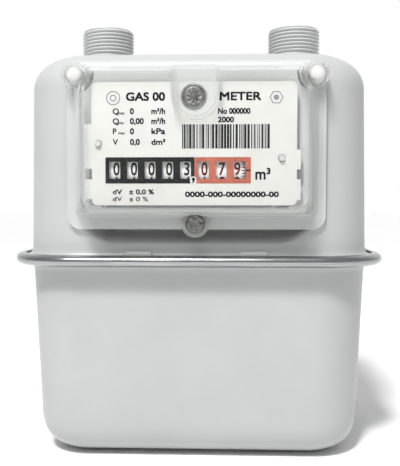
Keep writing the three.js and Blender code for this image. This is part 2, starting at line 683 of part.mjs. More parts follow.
function valveCover(side) {
  const x = side * VALVE_X;
  const floor = VALVE_PLATE_TOP_Z + GAP;
  const shell = prism(roundedRect(x, VALVE_Y, 11.5, 9.5, 2.5, 3), floor, floor + 5);
  const hollow = prism(roundedRect(x, VALVE_Y, 9.2, 6.4, 1.5, 3), floor - 1, floor + 3.6);
  const nearCrank = side * 9;
  const reach = side > 0 ? [nearCrank, x] : [x, nearCrank];
  const hook = box(...reach, VALVE_Y + 7, VALVE_Y + 9.4, floor + 2, floor + 4.6);
  return cut(join(shell, hook), hollow);
}

function outletDuct() {
  return turned([
    [9.6, 140.3], [12.6, 140.3], [11.2, 142], [11.2, 196], [13.4, 198], [13.4, 206.4],
    [12, 206.4], [12, 198.8], [9.6, 196.6],
  ], 20).translate(UNION_X, 0, 0);
}

function outletSealRing() {
  return turned([[11.4, 206.7], [13.8, 206.7], [13.8, 208.3], [11.4, 208.3]], 20).translate(UNION_X, 0, 0);
}

// Bent strip under the measuring unit.
function supportCradle() {
  const base = box(-46, 46, -20, 20, 1.3, 2.5);
  const leg = (x0, x1) => box(x0, x1, -20, 20, 1.3, 21.7);
  return join(base, leg(-34, -32.8), leg(32.8, 34));
}

// ---------- Assembly ----------
const meter = new THREE.Group();

function add(name, made, material, x = 0, y = 0, z = 0) {
  const mesh = new THREE.Mesh(geometryOf(made), material);
  mesh.name = name;
  mesh.position.set(x, y, z);
  meter.add(mesh);
}

add("upper_case", upperCase(), paint);
add("lower_case", lowerCase(), paint);
add("clamp_band", clampBand(), bandSteel);
add("case_gasket", caseGasket(), rubber);
add("inlet_union", pipeUnion(), paint, -UNION_X);
add("outlet_union", pipeUnion(), paint, UNION_X);

add("index_base", indexBase(), greyPlastic);
add("counter_frame", counterFrame(), zincPlate);
add("dial_plate", dialPlate(), whitePlastic);
add("index_cover", indexCover(), clearPlastic);
for (let i = 0; i < DRUM_COUNT; i++) {
  const x = FIRST_DRUM_X + i * DRUM_PITCH;
  add(`number_drum_${i + 1}`, numberDrum(), drumPlastic, x, DRUM_AXIS_Y, DRUM_AXIS_Z);
  if (i + 1 < DRUM_COUNT) {
    const place = [x + DRUM_PITCH / 2, DRUM_AXIS_Y, DRUM_AXIS_Z + PINION_DISTANCE];
    add(`transfer_pinion_${i + 1}`, transferPinion(), whitePlastic, ...place);
  }
}
add("drum_axle", axleRod(DRUM_AXLE_R, -43.8, 38.8), steel, 0, DRUM_AXIS_Y, DRUM_AXIS_Z);
add("pinion_axle", axleRod(PINION_AXLE_R, -43.8, 38.8), steel, 0, DRUM_AXIS_Y, DRUM_AXIS_Z + PINION_DISTANCE);

for (const [side, x] of [["left", -EAR_X], ["right", EAR_X]]) {
  add(`cover_stud_${side}`, coverStud(), steel, x, -BODY_HALF_D - GAP, EAR_Z);
  add(`stud_cap_${side}`, studCap(), whitePlastic, x, -70.6, EAR_Z);
}
add("top_seal_screw", panScrew(3, 2, 12), steel, TOP_SEAL[0], -78.5, TOP_SEAL[1]);
add("top_seal", sealPlug(4.7, 5.6), lead, TOP_SEAL[0], -80.9, TOP_SEAL[1]);
add("bottom_seal_screw", panScrew(3, 2, 9), steel, BOTTOM_SEAL[0], -71.3, BOTTOM_SEAL[1]);
add("bottom_seal", sealPlug(4.8, 3.6), lead, BOTTOM_SEAL[0], -73.7, BOTTOM_SEAL[1]);

add("input_bevel", inputBevel(), whitePlastic);
add("idler_shaft", idlerShaft(), steel);
const towardsIdler = Math.atan2(DRUM_AXIS_Z - DRIVE_Z, IDLER_X - DRIVE_X);
const pinionTurn = towardsIdler + Math.PI;
const gearTurn = towardsIdler + Math.PI / CHANGE_GEAR_TEETH;
add("change_pinion", changeGear(CHANGE_PINION_TEETH, 1.3, 2.6, pinionTurn), brass, IDLER_X, 0, DRUM_AXIS_Z);
add("change_gear", changeGear(CHANGE_GEAR_TEETH, 1.8, 4, gearTurn), brass, DRIVE_X, 0, DRIVE_Z);
add("drive_shaft", driveShaft(), steel, DRIVE_X, 0, DRIVE_Z);
add("gland_bush", glandBush(), brass, DRIVE_X, -51.6, DRIVE_Z);
add("worm_wheel", wormWheel(), whitePlastic, DRIVE_X, CRANK_Y, DRIVE_Z);
add("crank", crank(), unitPlastic);

add("measuring_body", measuringBody(), unitPlastic);
add("valve_plate", valvePlate(), unitPlastic);
add("outlet_duct", outletDuct(), unitPlastic);
add("outlet_seal_ring", outletSealRing(), rubber);
add("support_cradle", supportCradle(), zincPlate);
for (const [side, sign] of [["left", -1], ["right", 1]]) {
  add(`chamber_cover_${side}`, chamberCover(sign), unitPlastic);
  add(`diaphragm_${side}`, membrane(sign), membraneCloth);
  add(`diaphragm_plate_${side}`, diaphragmPlate(sign), zincPlate);
  add(`flag_rod_${side}`, flagRod(sign), steel);
  add(`link_arm_${side}`, linkArm(sign), zincPlate);
  add(`valve_cover_${side}`, valveCover(sign), whitePlastic);
}

export default meter;
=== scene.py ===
"""The looks of a domestic diaphragm gas meter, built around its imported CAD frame.

Sizes are in millimetres until a mesh is made. +Z is up and the index on the front faces -Y.
"""

import json
import math
import random

import bmesh
import bpy
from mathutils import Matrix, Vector, noise


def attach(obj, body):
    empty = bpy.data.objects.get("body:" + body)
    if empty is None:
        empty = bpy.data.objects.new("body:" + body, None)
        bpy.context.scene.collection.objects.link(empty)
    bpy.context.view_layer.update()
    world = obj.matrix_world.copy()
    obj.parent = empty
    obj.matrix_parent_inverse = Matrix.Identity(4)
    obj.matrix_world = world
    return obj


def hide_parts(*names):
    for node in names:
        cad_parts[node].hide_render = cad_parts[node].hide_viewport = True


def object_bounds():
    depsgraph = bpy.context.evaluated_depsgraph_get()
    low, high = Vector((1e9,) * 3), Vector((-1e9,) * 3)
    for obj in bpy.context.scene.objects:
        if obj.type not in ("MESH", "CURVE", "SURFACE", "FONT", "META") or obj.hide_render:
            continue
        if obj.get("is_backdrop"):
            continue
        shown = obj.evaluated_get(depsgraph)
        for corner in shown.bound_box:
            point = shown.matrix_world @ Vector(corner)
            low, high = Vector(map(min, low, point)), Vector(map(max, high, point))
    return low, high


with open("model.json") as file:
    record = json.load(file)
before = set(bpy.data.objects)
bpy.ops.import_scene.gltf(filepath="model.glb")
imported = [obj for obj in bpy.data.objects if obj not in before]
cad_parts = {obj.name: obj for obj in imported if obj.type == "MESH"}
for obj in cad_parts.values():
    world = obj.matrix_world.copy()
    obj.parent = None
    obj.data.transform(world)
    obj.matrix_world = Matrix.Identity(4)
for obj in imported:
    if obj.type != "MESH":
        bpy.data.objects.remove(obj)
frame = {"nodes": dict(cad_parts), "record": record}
cad_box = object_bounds()

MM = 0.001
CASING = "casing"

# ---------- Sizes shared with the CAD ----------
BODY_HALF_W = 89.2
BODY_HALF_D = 69.2
BODY_CORNER_R = 28
SHELL_WALL = 1.0
FLANGE_GROW = 7.3
SEAM_Z = 104
SEAM_HALF = 0.7
FLANGE_THICK = 1.1
CASE_DRAFT = 1.2
CASE_TOP_Z = 212.2
PANEL_Y = -54.5
SEAT = (0, 157.7, 62.2, 45.3, 22)  # middle x and z, half width, half height, corner radius
SEAT_SLOPE = 7

UNION_X = 55
UNION_TOP_Z = 234.4
UNION_BORE_R = 11
UNION_FOOT_R = 14.1  # where the union passes through the case
THREAD_R = 15
THREAD_ROOT_R = 13.75
THREAD_PITCH = 2

PLATE_FRONT_Y = -84.7
DRUM_R = 11
DRUM_HALF_W = 2.9
DRUM_BORE_R = 2.0
DRUM_PITCH = 8.5
FIRST_DRUM_X = -38.3
DRUM_AXIS = (-71.8, 148.8)
DRUM_COUNT = 8
BLACK_DRUMS = 5
READING = (0, 0, 0, 0, 3, 0, 7, 9)
DIGIT_HEIGHT = 6.1
DIGIT_SQUEEZE = 0.74
DIGIT_RISE = 0.8  # from the drum's axis up to the middle of the digit shown
DIGIT_SHIFT = 0.5  # to the right of the drum's middle
FASTEST_DIGIT_SHIFT = -0.7  # which makes room for the scale marks

COVER_BASE_Y = -69.5
COVER_FRONT_Y = -93
COVER_WALL = 1.7
EAR_X = 59.3
EAR_Z = 195.8
TOP_SEAL = (-0.3, 183.7)
BOTTOM_SEAL = (0, 122.7)


# ---------- Materials ----------
def new_material(name, color, roughness, metallic=0.0):
    material = bpy.data.materials.new(name)
    material.use_nodes = True
    shader = material.node_tree.nodes["Principled BSDF"]
    shader.inputs["Base Color"].default_value = (*color, 1)
    shader.inputs["Roughness"].default_value = roughness
    shader.inputs["Metallic"].default_value = metallic
    return material, shader


def noise_field(material, scale, stretch=(1, 1, 1), detail=3.0):
    """A noise pattern fixed to the piece; scale is in features per metre."""
    nodes, links = material.node_tree.nodes, material.node_tree.links
    place = nodes.new("ShaderNodeTexCoord")
    mapping = nodes.new("ShaderNodeMapping")
    mapping.inputs["Scale"].default_value = stretch
    pattern = nodes.new("ShaderNodeTexNoise")
    pattern.inputs["Scale"].default_value = scale
    pattern.inputs["Detail"].default_value = detail
    links.new(place.outputs["Object"], mapping.inputs["Vector"])
    links.new(mapping.outputs["Vector"], pattern.inputs["Vector"])
    return pattern.outputs["Fac"]


def vary_color(material, shader, field, low, high):
    """The colour goes from low to high over the middle of the field, where most of its values lie."""
    nodes, links = material.node_tree.nodes, material.node_tree.links
    node = nodes.new("ShaderNodeValToRGB")
    for element, position, color in zip(node.color_ramp.elements, (0.3, 0.7), (low, high)):
        element.position = position
        element.color = (*color, 1)
    links.new(field, node.inputs["Fac"])
    links.new(node.outputs["Color"], shader.inputs["Base Color"])


def vary_roughness(material, shader, field, low, high):
    nodes, links = material.node_tree.nodes, material.node_tree.links
    node = nodes.new("ShaderNodeMapRange")
    node.inputs["To Min"].default_value = low
    node.inputs["To Max"].default_value = high
    links.new(field, node.inputs["Value"])
    links.new(node.outputs["Result"], shader.inputs["Roughness"])


def add_bump(material, shader, field, distance):
    """distance is the full height of the relief in millimetres."""
    nodes, links = material.node_tree.nodes, material.node_tree.links
    node = nodes.new("ShaderNodeBump")
    node.inputs["Strength"].default_value = 1
    node.inputs["Distance"].default_value = distance * MM
    links.new(field, node.inputs["Height"])
    links.new(node.outputs["Normal"], shader.inputs["Normal"])


def shade(color, factor):
    return tuple(channel * factor for channel in color)


def powder_coat(name, color):
    material, shader = new_material(name, color, 0.36)
    shader.inputs["Specular IOR Level"].default_value = 0.35
    vary_color(material, shader, noise_field(material, 30), shade(color, 0.97), shade(color, 1.02))
    peel = noise_field(material, 900, detail=2)
    vary_roughness(material, shader, peel, 0.32, 0.42)
    add_bump(material, shader, peel, 0.05)
    return material


def rolled_steel():
    color = (0.36, 0.365, 0.37)
    material, shader = new_material("rolled_steel", color, 0.2, 1)
    streaks = noise_field(material, 60, stretch=(1, 1, 40), detail=4)
    vary_color(material, shader, streaks, shade(color, 0.8), shade(color, 1.15))
    vary_roughness(material, shader, streaks, 0.16, 0.3)
    add_bump(material, shader, streaks, 0.03)
    return material


def add_values(material, first, second):
    node = material.node_tree.nodes.new("ShaderNodeMath")
    node.operation = "ADD"
    node.use_clamp = True
    material.node_tree.links.new(first, node.inputs[0])
    material.node_tree.links.new(second, node.inputs[1])
    return node.outputs["Value"]


def fade_along_y(material, start, end, low, high):
    """A value that goes from low to high between two depths given in millimetres."""
    nodes, links = material.node_tree.nodes, material.node_tree.links
    place = nodes.new("ShaderNodeTexCoord")
    split = nodes.new("ShaderNodeSeparateXYZ")
    links.new(place.outputs["Object"], split.inputs["Vector"])
    fade = nodes.new("ShaderNodeMapRange")
    fade.inputs["From Min"].default_value = start * MM
    fade.inputs["From Max"].default_value = end * MM
    fade.inputs["To Min"].default_value = low
    fade.inputs["To Max"].default_value = high
    links.new(split.outputs["Y"], fade.inputs["Value"])
    return fade.outputs["Result"]


def clear_plastic():
    """Clear plastic: see-through in front, milky in walls and foot flange, glossy at glancing views."""
    material, shader = new_material("clear_plastic", (0.72, 0.73, 0.725), 0.06)
    nodes, links = material.node_tree.nodes, material.node_tree.links
    add_bump(material, shader, noise_field(material, 45, detail=1), 0.05)
    through = nodes.new("ShaderNodeBsdfTransparent")
    through.inputs["Color"].default_value = (0.985, 0.99, 0.985, 1)
    edge = nodes.new("ShaderNodeLayerWeight")
    edge.inputs["Blend"].default_value = 0.5
    gloss = nodes.new("ShaderNodeMath")
    gloss.operation = "POWER"
    gloss.inputs[1].default_value = 4
    links.new(edge.outputs["Facing"], gloss.inputs[0])
    wall_milk = fade_along_y(material, COVER_FRONT_Y + 1.9, COVER_FRONT_Y + 4.5, 0.008, 0.15)
    flange_milk = fade_along_y(material, COVER_BASE_Y - 2.6, COVER_BASE_Y - 1.9, 0, 0.3)
    total = add_values(material, gloss.outputs["Value"], add_values(material, wall_milk, flange_milk))
    mix = nodes.new("ShaderNodeMixShader")
    links.new(total, mix.inputs["Fac"])
    links.new(through.outputs["BSDF"], mix.inputs[1])
    links.new(shader.outputs["BSDF"], mix.inputs[2])
    links.new(mix.outputs["Shader"], nodes["Material Output"].inputs["Surface"])
    return material


def moulded_plastic(name, color, roughness, grain, relief):
    """Plastic with a fine moulded grain; grain is in features per metre and relief in millimetres."""
    material, shader = new_material(name, color, roughness)
    vary_color(material, shader, noise_field(material, 60), shade(color, 0.95), shade(color, 1.03))
    fine = noise_field(material, grain, detail=2)
    vary_roughness(material, shader, fine, roughness - 0.06, roughness + 0.08)
    add_bump(material, shader, fine, relief)
    return material


def worked_metal(name, color, roughness, grain, stretch=(1, 1, 1)):
    material, shader = new_material(name, color, roughness, 1)
    field = noise_field(material, grain, stretch, detail=4)
    vary_color(material, shader, field, shade(color, 0.82), shade(color, 1.08))
    vary_roughness(material, shader, field, roughness - 0.08, roughness + 0.12)
    add_bump(material, shader, field, 0.02)
    return material


def soft_metal():
    color = (0.2, 0.2, 0.195)
    material, shader = new_material("soft_metal", color, 0.5, 0.6)
    field = noise_field(material, 400, detail=5)
    vary_color(material, shader, field, shade(color, 0.6), shade(color, 1.3))
    vary_roughness(material, shader, field, 0.38, 0.62)
    add_bump(material, shader, field, 0.12)
    return material


def moulded_rubber():
    material, shader = new_material("moulded_rubber", (0.02, 0.02, 0.021), 0.75)
    field = noise_field(material, 700)
    vary_roughness(material, shader, field, 0.65, 0.85)
    add_bump(material, shader, field, 0.04)
    return material


def coated_cloth():
    """Rubberised cloth whose weave shows through the coating."""
    material, shader = new_material("coated_cloth", (0.03, 0.028, 0.025), 0.7)
    nodes, links = material.node_tree.nodes, material.node_tree.links
    place = nodes.new("ShaderNodeTexCoord")
    weave = nodes.new("ShaderNodeTexWave")
    weave.inputs["Scale"].default_value = 900
    weave.inputs["Distortion"].default_value = 0.6
    links.new(place.outputs["Object"], weave.inputs["Vector"])
    vary_roughness(material, shader, noise_field(material, 200), 0.6, 0.8)
    add_bump(material, shader, weave.outputs["Fac"], 0.06)
    return material


def printed_ink(name, color, roughness):
    material, shader = new_material(name, color, roughness)
    shader.inputs["Specular IOR Level"].default_value = 0.15
    field = noise_field(material, 500)
    vary_color(material, shader, field, shade(color, 0.85), shade(color, 1.1))
    vary_roughness(material, shader, field, roughness - 0.08, roughness + 0.08)
    return material


MATERIALS = {
    "paint": powder_coat("powder_coat", (0.415, 0.42, 0.42)),
    # The unions' coat is the case's paint made lighter: painted light for the light the threads catch,
    # making up for their shaded grooves.
    "union_paint_with_painted_light": powder_coat("union_coat_with_painted_light", (0.53, 0.535, 0.535)),
    "band_steel": rolled_steel(),
    "rubber": moulded_rubber(),
    "clear_plastic": clear_plastic(),
    "grey_plastic": moulded_plastic("grey_plastic", (0.53, 0.53, 0.52), 0.6, 1300, 0.12),
    "white_plastic": moulded_plastic("white_plastic", (0.62, 0.612, 0.59), 0.4, 900, 0.02),
    "drum_plastic": moulded_plastic("drum_plastic", (0.8, 0.79, 0.78), 0.45, 1100, 0.02),
    "steel": worked_metal("turned_steel", (0.5, 0.5, 0.51), 0.3, 120, (1, 30, 1)),
    "brass": worked_metal("machined_brass", (0.6, 0.43, 0.16), 0.3, 150, (1, 20, 1)),
    "lead": soft_metal(),
    "unit_plastic": moulded_plastic("unit_plastic", (0.11, 0.12, 0.13), 0.55, 900, 0.06),
    "membrane": coated_cloth(),
    "zinc_plate": worked_metal("zinc_plate", (0.6, 0.61, 0.62), 0.4, 250),
}
INK = {
    "black": printed_ink("black_ink", (0.012, 0.012, 0.013), 0.4),
    "red": printed_ink("red_ink", (0.43, 0.125, 0.085), 0.45),
    "dark_red": printed_ink("dark_red_ink", (0.16, 0.012, 0.015), 0.4),
    "grey": printed_ink("grey_ink", (0.23, 0.23, 0.24), 0.5),
    "faded": printed_ink("faded_ink", (0.45, 0.45, 0.45), 0.5),
}


# ---------- Mesh building ----------
AXIS_R = 0.02  # radius of the small ring that stands for a point on an axis
BOX_FACES = ((0, 1, 2, 3), (7, 6, 5, 4), (0, 4, 5, 1), (1, 5, 6, 2), (2, 6, 7, 3), (3, 7, 4, 0))


def tidy_mesh(obj, sharp_degrees=32):
    """Faces point outwards and are smooth, apart from edges sharper than the angle."""
    working = bmesh.new()
    working.from_mesh(obj.data)
    bmesh.ops.remove_doubles(working, verts=working.verts, dist=1e-6)
    bmesh.ops.recalc_face_normals(working, faces=working.faces)
    working.to_mesh(obj.data)
    working.free()
    obj.data.shade_smooth()
    obj.data.set_sharp_from_angle(angle=math.radians(sharp_degrees))
    return obj


def new_object(name, points, faces):
    mesh = bpy.data.meshes.new(name)
    mesh.from_pydata([tuple(c * MM for c in point) for point in points], [], faces)
    obj = bpy.data.objects.new(name, mesh)
    bpy.context.scene.collection.objects.link(obj)
    return obj


def apply_modifiers(obj):
    """Turns the object's modifiers into plain mesh."""
    depsgraph = bpy.context.evaluated_depsgraph_get()
    mesh = bpy.data.meshes.new_from_object(obj.evaluated_get(depsgraph))
    obj.modifiers.clear()
    obj.data = mesh
    return obj


def combine(obj, operation, *others):
    """Applies each other solid to the object in turn, and uses it up."""
    for other in others:
        modifier = obj.modifiers.new(operation, "BOOLEAN")
        modifier.operation = operation
        modifier.solver = "EXACT"
        modifier.object = other
        apply_modifiers(obj)
        bpy.data.objects.remove(other)
    return obj


def cut(obj, *others):
    return combine(obj, "DIFFERENCE", *others)


def join(obj, *others):
    return combine(obj, "UNION", *others)


def merge(obj, *others):
    """Puts closed meshes into one object without cutting them against each other."""
    working = bmesh.new()
    for part in (obj, *others):
        working.from_mesh(part.data)
    working.to_mesh(obj.data)
    working.free()
    for part in others:
        bpy.data.objects.remove(part)
    return obj


def bevel(obj, width):
    modifier = obj.modifiers.new("bevel", "BEVEL")
    modifier.width = width * MM
    modifier.segments = 2
    modifier.limit_method = "ANGLE"
    modifier.angle_limit = math.radians(35)
    return apply_modifiers(obj)


def onto_xy(u, v, level):
    return (u, v, level)


def onto_xz(u, v, level):
    return (u, level, v)


def onto_yz(u, v, level):
    return (level, u, v)


def rounded_rect(cx, cy, half_w, half_h, r, steps=8, side_steps=1):
    """Points round a rectangle with round corners; side_steps splits its long straight sides."""
    points = []
    corners = ((1, 1), (-1, 1), (-1, -1), (1, -1))
    for quarter, (sx, sy) in enumerate(corners):
        for i in range(steps + 1):
            angle = (quarter + i / steps) * math.pi / 2
            x = cx + sx * (half_w - r) + r * math.cos(angle)
            y = cy + sy * (half_h - r) + r * math.sin(angle)
            points.append((x, y))
        if quarter in (0, 2) and side_steps > 1:
            start = points[-1]
            sign = -1 if quarter == 0 else 1
            length = 2 * (half_w - r)
            for i in range(1, side_steps):
                points.append((start[0] + sign * length * i / side_steps, start[1]))
    return points


def circle(cx, cy, r, steps=48):
    angles = (2 * math.pi * i / steps for i in range(steps))
    return [(cx + r * math.cos(a), cy + r * math.sin(a)) for a in angles]


def stack(name, rings, caps=True, closed=False):
    """Skins rings of equal length; caps closes both ends, closed joins the last ring to the first."""
    count = len(rings[0])
    points = [point for ring in rings for point in ring]
    faces = []
    for k in range(len(rings) if closed else len(rings) - 1):
        low, high = k * count, ((k + 1) % len(rings)) * count
        for i in range(count):
            j = (i + 1) % count
            faces.append((low + i, low + j, high + j, high + i))
    if caps and not closed:
        faces.append(tuple(range(count))[::-1])
        faces.append(tuple(range((len(rings) - 1) * count, len(rings) * count)))
    return new_object(name, points, faces)


def loft(name, stations, place=onto_xy):
    """stations are (outline, level) pairs."""
    rings = [[place(u, v, level) for u, v in outline] for outline, level in stations]
    return tidy_mesh(stack(name, rings))


def prism(name, outline, start, end, place=onto_xy):
    return loft(name, ((outline, start), (outline, end)), place)


def rod_y(name, x, z, r, start, end):
    return prism(name, circle(x, z, r), start, end, onto_xz)


def boxes(name, corner_sets):
    """Separate boxes in one mesh; each has four corners on one side, then the same four on the other."""
    points, faces = [], []
    for corners in corner_sets:
        faces += [tuple(len(points) + corner for corner in quad) for quad in BOX_FACES]
        points += corners
    return tidy_mesh(new_object(name, points, faces))


def curve_points(start, control_1, control_2, end, steps):
    """Points along a cubic Bezier curve, without its first one."""
    points = []
    for i in range(1, steps + 1):
        t = i / steps
        weights = ((1 - t) ** 3, 3 * t * (1 - t) ** 2, 3 * t * t * (1 - t), t**3)
        pairs = (start, control_1, control_2, end)
        points.append(tuple(sum(w * p[axis] for w, p in zip(weights, pairs)) for axis in (0, 1)))
    return points


def smooth_step(t):
    """Eases from 0 to 1 and stays there on either side."""
    t = min(max(t, 0), 1)
    return t * t * (3 - 2 * t)


def add_piece(obj, material, body=CASING, replaces=()):
    """Finishes a visible piece; replaces names the CAD nodes it stands for."""
    obj.data.materials.clear()
    obj.data.materials.append(material)
    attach(obj, body)
    if replaces:
        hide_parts(*replaces)
    return obj


# ---------- Case ----------
def case_ring(grow, steps=22, side_steps=80):
    """The outline of the case seen from above, grown outwards in millimetres."""
    r = BODY_CORNER_R + (grow if grow > 0 else 0.75 * grow)
    half_w, half_d = BODY_HALF_W + grow, BODY_HALF_D + grow
    return rounded_rect(0, 0, half_w, half_d, r, steps, side_steps)


def inside_rounded_rect(x, z, cx, cz, half_w, half_h, r):
    """How far a point is inside the outline of a rounded rectangle; negative is outside."""
    dx, dz = abs(x - cx) - (half_w - r), abs(z - cz) - (half_h - r)
    outside = math.hypot(max(dx, 0), max(dz, 0))
    return r - outside - min(max(dx, dz), 0)


def press_index_seat(point):
    """Pushes the front of the upper shell back where the index sits."""
    x, y, z = point
    back_of_front = -30
    if y > back_of_front:
        return point
    depth = inside_rounded_rect(x, z, *SEAT)
    floor_y = -BODY_HALF_D + (PANEL_Y + BODY_HALF_D) * smooth_step(depth / SEAT_SLOPE)
    return (x, max(y, floor_y), z) if depth > 0 else point


def thicken(obj, wall):
    """Gives an open skin a wall that grows inwards."""
    modifier = obj.modifiers.new("wall", "SOLIDIFY")
    modifier.thickness = wall * MM
    modifier.offset = -1
    return apply_modifiers(obj)


def cap_last_ring(rings):
    """Closes a dome with one face; the other end stays open."""
    count = len(rings[0])
    obj = stack("shell", rings, caps=False)
    working = bmesh.new()
    working.from_mesh(obj.data)
    working.verts.ensure_lookup_table()
    working.faces.new(working.verts[-count:])
    bmesh.ops.recalc_face_normals(working, faces=working.faces)
    working.to_mesh(obj.data)
    working.free()
    return obj


def upper_shell():
    """Flange, fillet, wall with its draft, rounded shoulder and flat top, from the foot up."""
    foot = SEAM_Z + SEAM_HALF
    top = foot + FLANGE_THICK
    wall_foot, wall_top = 110.6, 193
    profile = [(FLANGE_GROW - 0.2, foot), (FLANGE_GROW, foot + 0.3), (FLANGE_GROW, top - 0.3)]
    profile += [(FLANGE_GROW - 0.2, top), (3.4, top)]
    profile += curve_points((3.4, top), (1.4, top), (0.2, top + 1.4), (0, wall_foot), 7)
    wall_steps = 54
    for i in range(wall_steps):
        share = (i + 1) / wall_steps
        profile.append((-CASE_DRAFT * share, wall_foot + (wall_top - wall_foot) * share))
    wall_end, shoulder_end = (-CASE_DRAFT, wall_top), (-31, CASE_TOP_Z)
    profile += curve_points(wall_end, (-CASE_DRAFT - 0.2, 204.9), (-14.5, CASE_TOP_Z), shoulder_end, 18)
    rings = [[press_index_seat((x, y, z)) for x, y in case_ring(grow)] for grow, z in profile]
    shell = cap_last_ring(rings)
    shell.name = "upper_shell"
    thicken(shell, SHELL_WALL)
    for x in (-UNION_X, UNION_X):
        cut(shell, prism("pipe_hole", circle(x, 0, UNION_FOOT_R), 200, 220))
    return tidy_mesh(shell, 40)


def flange_lug(x):
    """A raised stop on the front of the upper flange."""
    z = SEAM_Z + SEAM_HALF + FLANGE_THICK
    sunk, height = 0.4, 3.4
    stations = []
    for share, inset in ((0, 0), (0.55, 0.15), (0.85, 0.7), (1, 1.7)):
        outline = rounded_rect(x, -70, 7.5 - inset, 2.7 - inset * 0.7, 1.5 - inset * 0.3, 6)
        stations.append((outline, z - sunk + share * height))
    return loft(f"flange_lug_{'left' if x < 0 else 'right'}", stations)


def lower_shell():
    """Flange, fillet, tapered wall, rounded foot and flat bottom, from the rim down."""
    rim = SEAM_Z - SEAM_HALF
    under = rim - FLANGE_THICK
    wall_top, wall_foot = 97, 20
    wall_grow, taper = -0.6, 3.2
    foot_grow = wall_grow - taper
    profile = [(FLANGE_GROW - 0.2, rim), (FLANGE_GROW, rim - 0.3), (FLANGE_GROW, under + 0.3)]
    profile += [(FLANGE_GROW - 0.2, under), (3.4, under)]
    profile += curve_points((3.4, under), (1.2, under), (-0.4, under - 1.6), (wall_grow, wall_top), 7)
    for share in (0.25, 0.5, 0.75, 1):
        profile.append((wall_grow - taper * share, wall_top - (wall_top - wall_foot) * share))
    profile += curve_points((foot_grow, wall_foot), (-4.6, 6), (-12, 0), (-30, 0), 16)
    rings = [[(x, y, z) for x, y in case_ring(grow, side_steps=8)] for grow, z in profile]
    shell = cap_last_ring(rings)
    shell.name = "lower_shell"
    thicken(shell, SHELL_WALL)
    return tidy_mesh(shell, 40)


def clamp_band():
    """The rolled strip, swept from one side of its butt joint at the back to the other."""
    outer = [(3.9, 2.62), (3.95, 2.9), (4.4, 3.0)]
    outer += curve_points((4.4, 3.0), (7.0, 3.0), (8.8, 2.0), (8.8, 0), 9)
    profile = outer + [(grow, -z) for grow, z in outer[-2::-1]]
    inner_x = FLANGE_GROW + 0.35
    profile += [(4.1, -2.3), (6.6, -2.25), (inner_x, -1.7), (inner_x, 1.7), (6.6, 2.25), (4.1, 2.3)]
    steps, side_steps = 20, 12
    middle = steps + side_steps // 2  # the point at the middle of the back
    half_gap = 0.6
    rings = []
    for grow, z in profile:
        outline = case_ring(grow, steps, side_steps)
        path = outline[middle + 1 :] + outline[:middle]
        start, end = (-half_gap, outline[middle][1]), (half_gap, outline[middle][1])
        rings.append([(x, y, SEAM_Z + z) for x, y in (start, *path, end)])
    count = len(rings[0])
    faces = []
    for k in range(len(rings)):
        low, high = k * count, ((k + 1) % len(rings)) * count
        faces += [(low + i, low + i + 1, high + i + 1, high + i) for i in range(count - 1)]
    faces.append(tuple(k * count for k in range(len(rings))))
    faces.append(tuple(k * count + count - 1 for k in range(len(rings)))[::-1])
    points = [point for ring in rings for point in ring]
    return tidy_mesh(new_object("clamp_band_steel", points, faces), 50)


def threaded_union(name, x):
    """A union with a single-start helical thread, a plain neck and a weld fillet on the case."""
    around, per_pitch = 72, 10
    thread_start, thread_end = 219.1, UNION_TOP_Z
    plain = [(UNION_BORE_R, 208.6), (16.2, 208.6), (16.2, 209.4)]
    plain += [(UNION_FOOT_R, 209.5), (UNION_FOOT_R, 211.8)]
    plain += [(15.4, 212.1), (14.8, 212.7), (14.35, 213.6), (14.2, 214.8), (14.2, 218.9)]
    rings = [[onto_xy(u, v, z) for u, v in circle(x, 0, r, around)] for r, z in plain]
    levels = round((thread_end - thread_start) / THREAD_PITCH * per_pitch)
    for k in range(levels + 1):
        z = thread_start + (thread_end - thread_start) * k / levels
        run_out = 13.7 + (thread_end - z) * 0.9
        run_in = 14.0 + (z - thread_start) * 0.7
        ring = []
        for i in range(around):
            angle = 2 * math.pi * i / around
            phase = ((z / THREAD_PITCH - i / around) % 1 - 0.5) * 2
            rise = min(max((0.92 - abs(phase)) / 0.8, 0), 1)
            r = min(THREAD_ROOT_R + (THREAD_R - THREAD_ROOT_R) * rise, THREAD_R, run_out, run_in)
            ring.append((x + r * math.cos(angle), r * math.sin(angle), z))
        rings.append(ring)
    for r, z in ((13.3, UNION_TOP_Z), (11.5, UNION_TOP_Z), (UNION_BORE_R, UNION_TOP_Z - 0.5)):
        rings.append([onto_xy(u, v, z) for u, v in circle(x, 0, r, around)])
    return tidy_mesh(stack(name, rings, closed=True), 38)


# ---------- Index ----------
def pocket_outline(grow):
    """The recess round the top seal: a half circle below, open at the top of the cover."""
    x, z, top = 0.6, 184, 210
    r = 10 + grow
    steps = 24
    points = []
    for i in range(steps + 1):
        angle = math.pi * (1 + i / steps)
        points.append((x + r * math.cos(angle), z + r * math.sin(angle)))
    return points + [(x + r, top), (x - r, top)]


def cover_block(inset, back_y):
    """The cover as a solid; each station has its depth, half width, foot, top and corner radius."""
    stations = (
        (back_y, 61.4, 124.7, 203, 5),
        (COVER_FRONT_Y + 1.5 + inset, 53.6, 130, 197.2, 5),
        (COVER_FRONT_Y + 0.4 + inset, 52.8, 130.8, 196.4, 4.6),
        (COVER_FRONT_Y + inset, 52, 131.6, 195.6, 4.4),
    )
    outlines = []
    for y, half_w, low, high, r in stations:
        middle, half_h = (low + high) / 2, (high - low) / 2
        outline = rounded_rect(0, middle, half_w - inset, half_h - inset, max(r - inset, 2), 8)
        outlines.append((outline, y))
    return loft("block", outlines, onto_xz)


def at_ears(r, start, end):
    """A rod through each of the cover's two ears."""
    return [rod_y("ear", x, EAR_Z, r, start, end) for x in (-EAR_X, EAR_X)]


